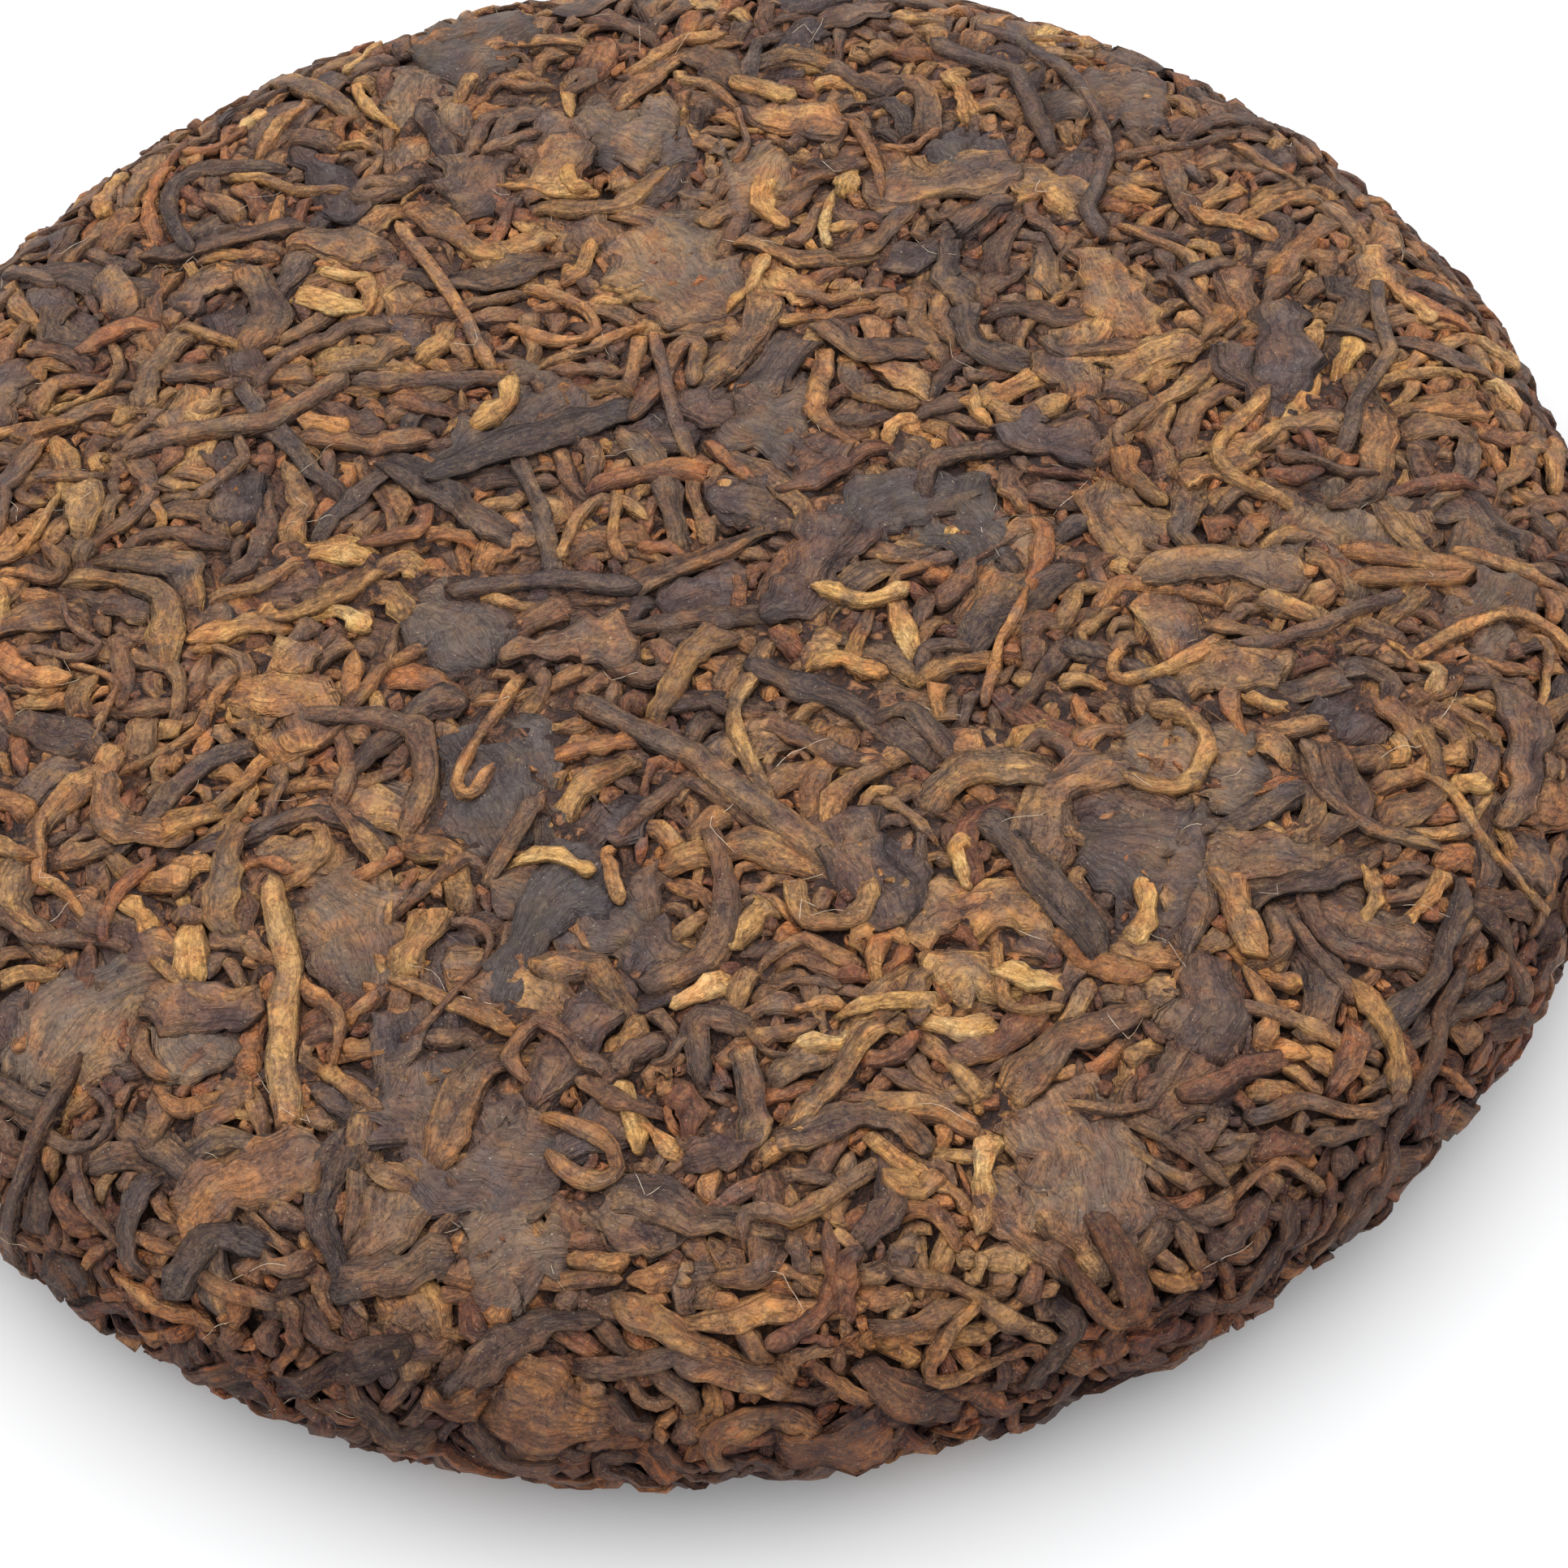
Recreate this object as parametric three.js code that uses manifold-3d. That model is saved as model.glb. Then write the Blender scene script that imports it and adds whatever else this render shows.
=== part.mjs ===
// A pressed cake of fermented dark tea: twisted leaf strips, buds, stalks and broad leaf pieces that were
// steamed and squeezed into a disc. The top is a low dome that rolls over a rounded rim, and the underside
// is a flat resting ring round the shallow dimple that the knot of the pressing cloth leaves.
// Millimetres, +Z up, with the origin at the middle of the resting plane.

import * as THREE from "three";
import { mergeVertices } from "three/addons/utils/BufferGeometryUtils.js";
import Module from "manifold-3d";

const wasm = await Module();
wasm.setup();

// Driving dimensions of the pressed disc, without the leaves that stand proud of it.
const CORE_RADIUS = 54.3;
const CORE_HEIGHT = 15.4;
const RIM_HEIGHT = 6.4; // height at which the disc is widest
const DOME_RISE = 1.5; // how much higher the middle is than the start of the shoulder
const SHOULDER_WIDTH = 11.5; // how far in from the rim the top starts to roll over
const HEEL_WIDTH = 7.5; // how far in from the rim the resting ring starts
const DIMPLE_RADIUS = 17;
const DIMPLE_DEPTH = 5;
const CRUMPLE = 0.35; // height of the soft bumps of the small leaves between the large ones
const FLATNESS = 0.9; // bumps point away from a flat plate of this share of the disc's width
const CALM_RADIUS = 15; // towards the axis the bumps die away within this radius
const ON_THE_TABLE = 0.01; // below this height the disc is part of the level resting ring
const FACES_DOWN = -0.9; // a surface that faces down more than this, near the table, is the resting ring
const NEAR_THE_TABLE = 0.3;
const FACES_OUT = 0.6; // a surface that faces up less than this belongs to the rim

// How many stretches each arc of the half section is divided into, and the disc round its axis.
const ARC_STRETCHES = { dimple: 3, ring: 1, heel: 2, shoulder: 4, dome: 3 };
const CORE_SEGMENTS = 36;

// Rolled strips, broad leaves and stalks at their real size: their share of all pieces, section, half width,
// height over the disc, length and how sharply they may bend.
const LEAF_COUNT = 158;
const ROUNDED = { sides: 5, turn: Math.PI / 2 }; // a ridge runs along the top
const FLAT = { sides: 6, turn: 0 }; // a flat runs along the top
const LEAF_KINDS = [
  { share: 0.52, section: ROUNDED, halfWidth: [1.2, 1.7], rise: [0.8, 1.2], length: [11, 18], bend: 0.12 },
  { share: 0.33, section: FLAT, halfWidth: [2.3, 3.4], rise: [0.65, 0.95], length: [9, 14], bend: 0.03 },
  { share: 0.15, section: ROUNDED, halfWidth: [0.9, 1.1], rise: [0.9, 1.2], length: [18, 25], bend: 0.03 },
];
const LEAF_STEPS = 4; // stretches between a piece's two tips
const LEAF_BURIED = 1.0; // how deep the underside of a piece lies in the disc
const EDGE_SUNK = 0.35; // how far the two long edges of a piece are pressed in
const TIP_BLUNTNESS = 4;
const RIM_STRAY = 0.3; // on the rim pieces lie along the edge, within this many half turns
const SMOOTHING_REACH = 1.5; // the surface's direction is taken between two places this far to each side
const AREA_SAMPLES = 400;
const DRAW_SEED = 20357;
const WELD = 1e-3;

const GOLDEN_ANGLE = Math.PI * (3 - Math.sqrt(5));
const LEAF_COLOUR = 0x5a4335;

// A repeatable draw of numbers from 0 to 1.
function seededDraw(seed) {
  let state = seed;
  return () => {
    state = (state + 0x6d2b79f5) | 0;
    let mixed = Math.imul(state ^ (state >>> 15), 1 | state);
    mixed = (mixed + Math.imul(mixed ^ (mixed >>> 7), 61 | mixed)) ^ mixed;
    return ((mixed ^ (mixed >>> 14)) >>> 0) / 4294967296;
  };
}

// The disc's half section, from the middle of the dimple round the rim to the middle of the top.
function discProfile() {
  const points = [];
  const arc = (count, place) => {
    for (let i = 0; i < count; i++) points.push(place(i / count));
  };
  const quarter = Math.PI / 2;
  const heel = CORE_RADIUS - HEEL_WIDTH;
  const shoulder = CORE_RADIUS - SHOULDER_WIDTH;
  const shoulderHeight = CORE_HEIGHT - DOME_RISE;
  arc(ARC_STRETCHES.dimple, (t) => new THREE.Vector2(
    DIMPLE_RADIUS * t, DIMPLE_DEPTH * (0.5 + 0.5 * Math.cos(Math.PI * t))));
  arc(ARC_STRETCHES.ring, (t) => new THREE.Vector2(DIMPLE_RADIUS + (heel - DIMPLE_RADIUS) * t, 0));
  arc(ARC_STRETCHES.heel, (t) => new THREE.Vector2(
    heel + HEEL_WIDTH * Math.sin(quarter * t), RIM_HEIGHT * (1 - Math.cos(quarter * t))));
  arc(ARC_STRETCHES.shoulder, (t) => new THREE.Vector2(
    shoulder + SHOULDER_WIDTH * Math.cos(quarter * t),
    RIM_HEIGHT + (shoulderHeight - RIM_HEIGHT) * Math.sin(quarter * t)));
  arc(ARC_STRETCHES.dome, (t) => new THREE.Vector2(
    shoulder * (1 - t), shoulderHeight + DOME_RISE * Math.sin(quarter * t)));
  points.push(new THREE.Vector2(0, CORE_HEIGHT));
  return points;
}

// The disc's surface, measured by length along its half section and by angle round its axis.
function surfaceRuler(profile) {
  const lengths = [0];
  for (let i = 1; i < profile.length; i++) {
    lengths.push(lengths[i - 1] + profile[i].distanceTo(profile[i - 1]));
  }
  const total = lengths[lengths.length - 1];
  const onSection = (distance) => {
    const s = THREE.MathUtils.clamp(distance, 0, total);
    let i = 1;
    while (i < profile.length - 1 && lengths[i] < s) i++;
    return profile[i - 1].clone().lerp(profile[i], (s - lengths[i - 1]) / (lengths[i] - lengths[i - 1]));
  };
  const place = (distance, angle) => {
    const here = onSection(distance);
    const before = onSection(distance - SMOOTHING_REACH);
    const along = onSection(distance + SMOOTHING_REACH).sub(before).normalize();
    return {
      point: new THREE.Vector3(here.x * Math.cos(angle), here.x * Math.sin(angle), here.y),
      normal: new THREE.Vector3(along.y * Math.cos(angle), along.y * Math.sin(angle), -along.x),
    };
  };
  const nearest = (point) => {
    const seen = new THREE.Vector2(Math.hypot(point.x, point.y), point.z);
    const best = { gap: Infinity, distance: 0 };
    for (let i = 1; i < profile.length; i++) {
      const stretch = new THREE.Line3(
        new THREE.Vector3(profile[i - 1].x, profile[i - 1].y, 0),
        new THREE.Vector3(profile[i].x, profile[i].y, 0));
      const share = stretch.closestPointToPointParameter(new THREE.Vector3(seen.x, seen.y, 0), true);
      const gap = profile[i - 1].clone().lerp(profile[i], share).distanceTo(seen);
      if (gap < best.gap) {
        best.gap = gap;
        best.distance = lengths[i - 1] + (lengths[i] - lengths[i - 1]) * share;
      }
    }
    return place(best.distance, Math.atan2(point.y, point.x));
  };
  return { total, place, nearest };
}

// Evenly spread places on all that leaves show on, which is everything but the flat resting ring.
function evenPlaces(ruler, count) {
  const area = [0];
  for (let i = 0; i < AREA_SAMPLES; i++) {
    const here = ruler.place(((i + 0.5) / AREA_SAMPLES) * ruler.total, 0);
    const onRing = here.normal.z < FACES_DOWN && here.point.z < NEAR_THE_TABLE;
    area.push(area[i] + (onRing ? 0 : here.point.x));
  }
  const places = [];
  for (let n = 0; n < count; n++) {
    const wanted = ((n + 0.5) / count) * area[AREA_SAMPLES];
    let i = 1;
    while (area[i] < wanted) i++;
    places.push(ruler.place((i / AREA_SAMPLES) * ruler.total, n * GOLDEN_ANGLE));
  }
  return places;
}

// The kind of the next piece, each as often as its share says.
function drawKind(draw) {
  let left = draw();
  for (const kind of LEAF_KINDS) {
    left -= kind.share;
    if (left < 0) return kind;
  }
  return LEAF_KINDS[0];
}

// The line that a piece of this length lies along, from tip to tip, with its middle at the given place.
function leafPath(ruler, middle, length, bend, draw) {
  const stray = middle.normal.z < FACES_OUT ? RIM_STRAY : 1;
  const round = new THREE.Vector3(-middle.point.y, middle.point.x, 0).normalize();
  const heading = round.applyAxisAngle(middle.normal, Math.PI * stray * (draw() - 0.5));
  const step = length / LEAF_STEPS;
  const walk = (sense) => {
    const ahead = heading.clone().multiplyScalar(sense);
    const places = [middle];
    for (let i = 0; i < LEAF_STEPS / 2; i++) {
      const here = places[i];
      ahead.applyAxisAngle(here.normal, sense * bend * step);
      const next = ruler.nearest(here.point.clone().addScaledVector(ahead, step));
      ahead.projectOnPlane(next.normal).normalize();
      places.push(next);
    }
    return places.slice(1);
  };
  return [...walk(-1).reverse(), middle, ...walk(1)];
}

// One curled strip, leaf or stalk: a closed ball stretched along a path on the disc, blunt at both tips.
function leafGeometry(ruler, middle, kind, draw) {
  const between = ([low, high]) => low + (high - low) * draw();
  const halfWidth = between(kind.halfWidth);
  const rise = between(kind.rise);
  const path = leafPath(ruler, middle, between(kind.length), kind.bend * (2 * draw() - 1), draw);
  const ball = new THREE.SphereGeometry(1, kind.section.sides, LEAF_STEPS, kind.section.turn);
  ball.deleteAttribute("normal");
  ball.deleteAttribute("uv");
  const spots = ball.attributes.position;
  const vertex = new THREE.Vector3();
  for (let i = 0; i < spots.count; i++) {
    vertex.fromBufferAttribute(spots, i);
    const ring = Math.round((Math.acos(THREE.MathUtils.clamp(vertex.y, -1, 1)) / Math.PI) * LEAF_STEPS);
    const share = (2 * ring) / LEAF_STEPS - 1;
    const plump = Math.sqrt(Math.max(0, 1 - Math.abs(share) ** TIP_BLUNTNESS));
    const around = Math.atan2(vertex.z, vertex.x);
    const here = path[ring];
    const ahead = path[Math.min(ring + 1, LEAF_STEPS)].point.clone().sub(path[Math.max(ring - 1, 0)].point);
    const side = here.normal.clone().cross(ahead).normalize();
    const lift = Math.sin(around) > 0 ? rise + EDGE_SUNK : LEAF_BURIED;
    vertex.copy(here.point)
      .addScaledVector(side, halfWidth * plump * Math.cos(around))
      .addScaledVector(here.normal, lift * plump * Math.sin(around) - EDGE_SUNK);
    spots.setXYZ(i, vertex.x, vertex.y, vertex.z);
  }
  return ball;
}

// The disc itself, with the small leaves between the large ones as soft bumps on the dome and the rim.
function discGeometry(profile, draw) {
  const disc = new THREE.LatheGeometry(profile, CORE_SEGMENTS);
  disc.rotateX(Math.PI / 2);
  disc.deleteAttribute("normal");
  disc.deleteAttribute("uv");
  const merged = mergeVertices(disc, WELD);
  const spots = merged.attributes.position;
  const vertex = new THREE.Vector3();
  for (let i = 0; i < spots.count; i++) {
    vertex.fromBufferAttribute(spots, i);
    if (vertex.z < ON_THE_TABLE) continue;
    const heart = new THREE.Vector3(vertex.x * FLATNESS, vertex.y * FLATNESS, RIM_HEIGHT);
    const calm = Math.min(1, Math.hypot(vertex.x, vertex.y) / CALM_RADIUS);
    vertex.addScaledVector(vertex.clone().sub(heart).normalize(), CRUMPLE * calm * (2 * draw() - 1));
    spots.setXYZ(i, vertex.x, vertex.y, vertex.z);
  }
  return merged;
}

function solidFrom(geometry) {
  const merged = mergeVertices(geometry, WELD);
  return new wasm.Manifold(new wasm.Mesh({
    numProp: 3,
    vertProperties: new Float32Array(merged.attributes.position.array),
    triVerts: new Uint32Array(merged.index.array),
  }));
}

function geometryFrom(solid) {
  const mesh = solid.getMesh();
  const geometry = new THREE.BufferGeometry();
  geometry.setAttribute("position", new THREE.BufferAttribute(new Float32Array(mesh.vertProperties), 3));
  geometry.setIndex(new THREE.BufferAttribute(new Uint32Array(mesh.triVerts), 1));
  geometry.computeVertexNormals();
  return geometry;
}

// The disc with every leaf pressed into it, cut level where it rests. Only the outer skin is kept, so that
// a pocket closed over by crossing leaves is filled.
function pressedCake() {
  const draw = seededDraw(DRAW_SEED);
  const profile = discProfile();
  const ruler = surfaceRuler(profile);
  const solids = [solidFrom(discGeometry(profile, draw))];
  for (const place of evenPlaces(ruler, LEAF_COUNT)) {
    solids.push(solidFrom(leafGeometry(ruler, place, drawKind(draw), draw)));
  }
  const joined = wasm.Manifold.union(solids);
  const aboveTable = new THREE.BoxGeometry(CORE_RADIUS * 4, CORE_RADIUS * 4, CORE_HEIGHT * 2);
  aboveTable.translate(0, 0, CORE_HEIGHT);
  aboveTable.deleteAttribute("normal");
  aboveTable.deleteAttribute("uv");
  const cut = joined.intersect(solidFrom(aboveTable));
  return cut.decompose().sort((a, b) => b.volume() - a.volume())[0];
}

const cakeGeometry = geometryFrom(pressedCake());
cakeGeometry.computeBoundingBox();
const middle = cakeGeometry.boundingBox.getCenter(new THREE.Vector3());

const cake = new THREE.Mesh(
  cakeGeometry,
  new THREE.MeshStandardMaterial({ color: LEAF_COLOUR, roughness: 0.75, metalness: 0 }),
);
cake.name = "tea_cake";
cake.position.set(-middle.x, -middle.y, 0);

const teaCake = new THREE.Group();
teaCake.name = "pressed_tea_cake";
teaCake.add(cake);

export default teaCake;
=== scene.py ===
import math

import bpy
import numpy as np
from mathutils import Matrix, Vector


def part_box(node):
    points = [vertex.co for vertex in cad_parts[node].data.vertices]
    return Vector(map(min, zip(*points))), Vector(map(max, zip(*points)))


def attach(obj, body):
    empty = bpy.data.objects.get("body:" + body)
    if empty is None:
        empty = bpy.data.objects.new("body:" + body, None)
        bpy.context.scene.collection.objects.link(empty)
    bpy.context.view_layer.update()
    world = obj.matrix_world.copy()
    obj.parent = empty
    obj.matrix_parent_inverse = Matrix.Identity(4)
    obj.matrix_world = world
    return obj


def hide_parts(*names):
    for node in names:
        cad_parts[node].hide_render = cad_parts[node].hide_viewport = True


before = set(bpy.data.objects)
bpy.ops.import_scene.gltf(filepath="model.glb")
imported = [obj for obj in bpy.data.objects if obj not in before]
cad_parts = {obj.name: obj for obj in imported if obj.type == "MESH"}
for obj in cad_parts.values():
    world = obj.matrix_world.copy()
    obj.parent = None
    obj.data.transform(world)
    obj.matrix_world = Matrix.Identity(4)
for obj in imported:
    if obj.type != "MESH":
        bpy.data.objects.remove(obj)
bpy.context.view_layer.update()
bpy.ops.object.select_all(action="DESELECT")

MM = 0.001
CAKE = "tea_cake"
DRAW = np.random.default_rng(412)

# The mould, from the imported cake's box and the same arcs as the cake's solid.
LOW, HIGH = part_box(CAKE)
MOULD_RADIUS = (HIGH.x - LOW.x + HIGH.y - LOW.y) / 4
MOULD_HEIGHT = HIGH.z
RIM_HEIGHT = 0.4 * MOULD_HEIGHT
DOME_RISE = 1.5 * MM
SHOULDER_WIDTH = 11.5 * MM
HEEL_WIDTH = 7.5 * MM
DIMPLE_RADIUS = 17 * MM
DIMPLE_DEPTH = 5 * MM
SECTION_STEP = 0.25 * MM
LOOKUP_STEP = 0.5 * MM
LOOKUP_MARGIN = 4 * MM

# The roof under which leaves are laid, and how unevenly the leaves fill the mould.
PATCH = 0.3 * MM
UNDULATION = 0.22 * MM
RIM_SLACK = 1.4 * MM
CORE_DEPTH = 0.9 * MM
RIM_CORE_DEPTH = 2.2 * MM
RIM_SHARPNESS = 1.15

# How a leaf is laid: the room that it leaves, how steeply it may dip and how its ends go under.
LEAF_GAP = 0.02 * MM
UNDER_SHEET = 0.22 * MM
STEEPEST = 1.0
DEEPEST = 2.1 * MM
DIP_EASING = 1.0 * MM
SQUEEZED = 0.62
HIDDEN_END = 1.2 * MM
TUCK_LENGTH = 1.7 * MM
TUCK_DEPTH = 0.9 * MM
COVERED_TUCK = 0.3 * MM
DRAPING_ROUNDS = 8

# How many places are tried for the leaves of a kind, and when a stretch of one counts as showing.
TRIES = 6
SPARE_SHARE = 1.6
SPARE_PIECES = 8
FEWEST_BARE = 20
SHOWING = 0.15
FEWEST_STEPS = 4
LEAST_CHANCE = 0.02

# A surface that faces down more than UNDERSIDE is hidden, and gets fewer and plainer leaves. One that faces
# up or down more than LEVEL lets leaves lie any way. Nothing lies lower than REST_GAP over the table.
UNDERSIDE = -0.6
UNDERSIDE_THINNING = 0.3
UNDERSIDE_STEPS = 0.55
UNDERSIDE_SIDES = 0.75
LEVEL = 0.62
REST_GAP = 0.02 * MM

# A leaf's own shape: the places across it that are looked at, and the arch of its section.
FINE_STEP = 0.33 * MM
ACROSS = np.linspace(-0.96, 0.96, 7)
SQUARENESS = 0.46
ARCH = (1 - np.abs(ACROSS) ** (2 / SQUARENESS)) ** (SQUARENESS / 2)

# The number of rings along a piece, for pieces up to each length in millimetres.
LENGTH_STEPS = ((3.2, 7), (6.5, 12), (11, 19), (17, 27), (99, 37))

# The body of crumbled leaf under the strips.
CORE_RINGS = 46
CORE_SEGMENTS = 120
CRUMBLE_WIDTH = 1.6 * MM
CRUMBLE_HEIGHT = 1.3 * MM

# The light, and the table, which lies just under the cake.
SKY_COLOUR = (0.96, 0.98, 1.0, 1.0)
SKY_STRENGTH = 1.06
LAMP_PLACE = (-0.02, 0.15, 0.7)
LAMP_TARGET = (0, 0.02, 0)
LAMP_SIZE = 1.25
LAMP_POWER = 5.3
LAMP_COLOUR = (1.0, 0.985, 0.965)
TABLE_SIZE = 4.0
TABLE_DROP = 0.02 * MM
TABLE_TONES = [(0.0, (0.73, 0.73, 0.735)), (1.0, (0.75, 0.75, 0.755))]

# The photograph's view. The angles and the base's place are fitted to the outline of the cake's rim, for a
# focal length that is chosen, because the outline fits others as well.
IMAGE_SIZE = 1932
FOCAL_PX = 4000
BASE_AT_PX = (862.9, 855.5)
CAMERA_DISTANCE = 198.3 * MM
CAMERA_ELEVATION = math.radians(52.0)
CAMERA_ROLL = math.radians(6.5)
SENSOR = 36.0


class Mould:
    """The inside of the press: a half section turned round the upright axis."""

    def __init__(self):
        share = np.linspace(0, 1, 80)
        quarter = share * math.pi / 2
        heel = MOULD_RADIUS - HEEL_WIDTH
        shoulder = MOULD_RADIUS - SHOULDER_WIDTH
        dome_foot = MOULD_HEIGHT - DOME_RISE
        radius = np.concatenate([
            DIMPLE_RADIUS * share,
            DIMPLE_RADIUS + (heel - DIMPLE_RADIUS) * share,
            heel + HEEL_WIDTH * np.sin(quarter),
            shoulder + SHOULDER_WIDTH * np.cos(quarter),
            shoulder * (1 - share),
        ])
        height = np.concatenate([
            DIMPLE_DEPTH * (0.5 + 0.5 * np.cos(math.pi * share)),
            0 * share,
            RIM_HEIGHT * (1 - np.cos(quarter)),
            RIM_HEIGHT + (dome_foot - RIM_HEIGHT) * np.sin(quarter),
            dome_foot + DOME_RISE * np.sin(quarter),
        ])
        length = np.concatenate([[0], np.cumsum(np.hypot(np.diff(radius), np.diff(height)))])
        self.total = length[-1]
        self.along = np.linspace(0, self.total, int(self.total / SECTION_STEP))
        self.radius = np.interp(self.along, length, radius)
        self.height = np.interp(self.along, length, height)
        smooth = np.ones(9) / 9
        out_radius = np.gradient(self.height)
        out_height = -np.gradient(self.radius)
        out_radius = np.convolve(np.pad(out_radius, 4, mode="edge"), smooth, "valid")
        out_height = np.convolve(np.pad(out_height, 4, mode="edge"), smooth, "valid")
        size = np.hypot(out_radius, out_height)
        self.out_radius = out_radius / size
        self.out_height = out_height / size
        radii = np.arange(0, MOULD_RADIUS + LOOKUP_MARGIN, LOOKUP_STEP)
        heights = np.arange(-LOOKUP_MARGIN, MOULD_HEIGHT + LOOKUP_MARGIN, LOOKUP_STEP)
        gaps = (radii[:, None, None] - self.radius) ** 2 + (heights[None, :, None] - self.height) ** 2
        self.lookup = self.along[np.argmin(gaps, axis=2)]

    def place(self, along, angle):
        """Points on the mould and the ways it faces there."""
        radius = np.interp(along, self.along, self.radius)
        height = np.interp(along, self.along, self.height)
        out_radius = np.interp(along, self.along, self.out_radius)
        out_height = np.interp(along, self.along, self.out_height)
        cos, sin = np.cos(angle), np.sin(angle)
        return (np.stack([radius * cos, radius * sin, height], -1),
                np.stack([out_radius * cos, out_radius * sin, out_height], -1))

    def measure(self, points):
        """The places on the mould nearest to points: the length along the section, and the angle."""
        most_across, most_up = np.array(self.lookup.shape) - 1.001
        across = np.clip(np.hypot(points[..., 0], points[..., 1]) / LOOKUP_STEP, 0, most_across)
        up = np.clip((points[..., 2] + LOOKUP_MARGIN) / LOOKUP_STEP, 0, most_up)
        i, j = across.astype(int), up.astype(int)
        s, t = across - i, up - j
        low = self.lookup[i, j] * (1 - s) + self.lookup[i + 1, j] * s
        high = self.lookup[i, j + 1] * (1 - s) + self.lookup[i + 1, j + 1] * s
        return low * (1 - t) + high * t, np.arctan2(points[..., 1], points[..., 0])

    def project(self, points):
        return self.place(*self.measure(points))


class Unevenness:
    """Smooth random unevenness in space, about -1 to 1, made of a few crossing waves."""

    def __init__(self, wavelength, count=14):
        ways = DRAW.normal(size=(count, 3))
        ways /= np.linalg.norm(ways, axis=1, keepdims=True)
        self.ways = ways * (2 * math.pi / (wavelength * DRAW.uniform(0.7, 1.6, (count, 1))))
        self.phases = DRAW.uniform(0, 2 * math.pi, count)

    def at(self, points):
        waves = np.sin(points @ self.ways.T + self.phases)
        return waves.sum(-1) / math.sqrt(len(self.phases) / 2) / 1.6


class Roof:
    """How deep under the mould the free space begins, patch by patch, and which patches are still bare."""

    def __init__(self, mould):
        rows = int(math.ceil(mould.total / PATCH))
        middles = (np.arange(rows) + 0.5) * PATCH
        around = 2 * math.pi * np.interp(middles, mould.along, mould.radius)
        self.counts = np.maximum(6, np.round(around / PATCH)).astype(int)
        self.first = np.concatenate([[0], np.cumsum(self.counts)[:-1]])
        row = np.repeat(np.arange(rows), self.counts)
        self.along = middles[row]
        self.angle = (np.arange(len(row)) - self.first[row] + 0.5) / self.counts[row] * 2 * math.pi
        points, out = mould.place(self.along, self.angle)
        self.rim = np.clip(1 - np.abs(out[:, 2]) * RIM_SHARPNESS, 0, 1) ** 0.5
        self.up = out[:, 2]
        lumps = Unevenness(9 * MM).at(points) * 0.5 + 0.5
        slack = np.clip(Unevenness(5 * MM).at(points), 0, 1)
        loose = np.clip(Unevenness(2.4 * MM).at(points), 0, 1)
        self.depth = UNDULATION * lumps * 1.4 + RIM_SLACK * self.rim * (0.7 * slack + 0.6 * loose)
        self.bare = np.ones(len(row), bool)
        self.top = np.full(len(row), CORE_DEPTH)

    def patch(self, along, angle):
        row = np.clip((along / PATCH).astype(int), 0, len(self.counts) - 1)
        column = np.floor((angle / (2 * math.pi)) % 1.0 * self.counts[row]).astype(int)
        return self.first[row] + np.minimum(column, self.counts[row] - 1)


class Kind:
    """A kind of leaf piece, with the ranges of its sizes."""

    def __init__(self, name, length, half_width, thickness, turn=0.6, wiggle=0.3, depth=(0.0, 0.3), sides=10,
                 blunt=(3.5, 9), folds=0.1, groove=0.4, hook=0.0, rim_heading=0.75, flat=False, crumple=0.07,
                 uneven=0.22, skew=0.5, tucked=0.7, rim_share=0.0):
        self.name = name
        self.length = length
        self.half_width = half_width
        self.thickness = thickness
        self.turn = turn
        self.wiggle = wiggle
        self.depth = depth
        self.sides = sides
        self.blunt = blunt
        self.folds = folds
        self.groove = groove
        self.hook = hook
        self.rim_heading = rim_heading
        self.flat = flat
        self.crumple = crumple
        self.uneven = uneven
        self.skew = skew
        self.tucked = tucked
        self.rim_share = rim_share
        self.laid = []


def millimetres(limits, count):
    return DRAW.uniform(limits[0], limits[1], count) * MM


def rotated(vectors, axes, angles):
    """Vectors turned about axes that they stand square to."""
    return vectors * np.cos(angles)[..., None] + np.cross(axes, vectors) * np.sin(angles)[..., None]


def unit(vectors):
    return vectors / np.maximum(np.linalg.norm(vectors, axis=-1, keepdims=True), 1e-12)


def wander(count, steps):
    """A slow random curve for each of several pieces, about -1 to 1, over their length."""
    u = np.linspace(0, 1, steps)
    total = np.zeros((count, steps))
    for turns in (1.0, 1.9, 3.3, 5.1):
        pace = turns * DRAW.uniform(0.7, 1.3, (count, 1))
        phase = DRAW.uniform(0, 2 * math.pi, (count, 1))
        total += np.sin(2 * math.pi * pace * u + phase) / turns ** 0.4
    return total / 2.0


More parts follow.
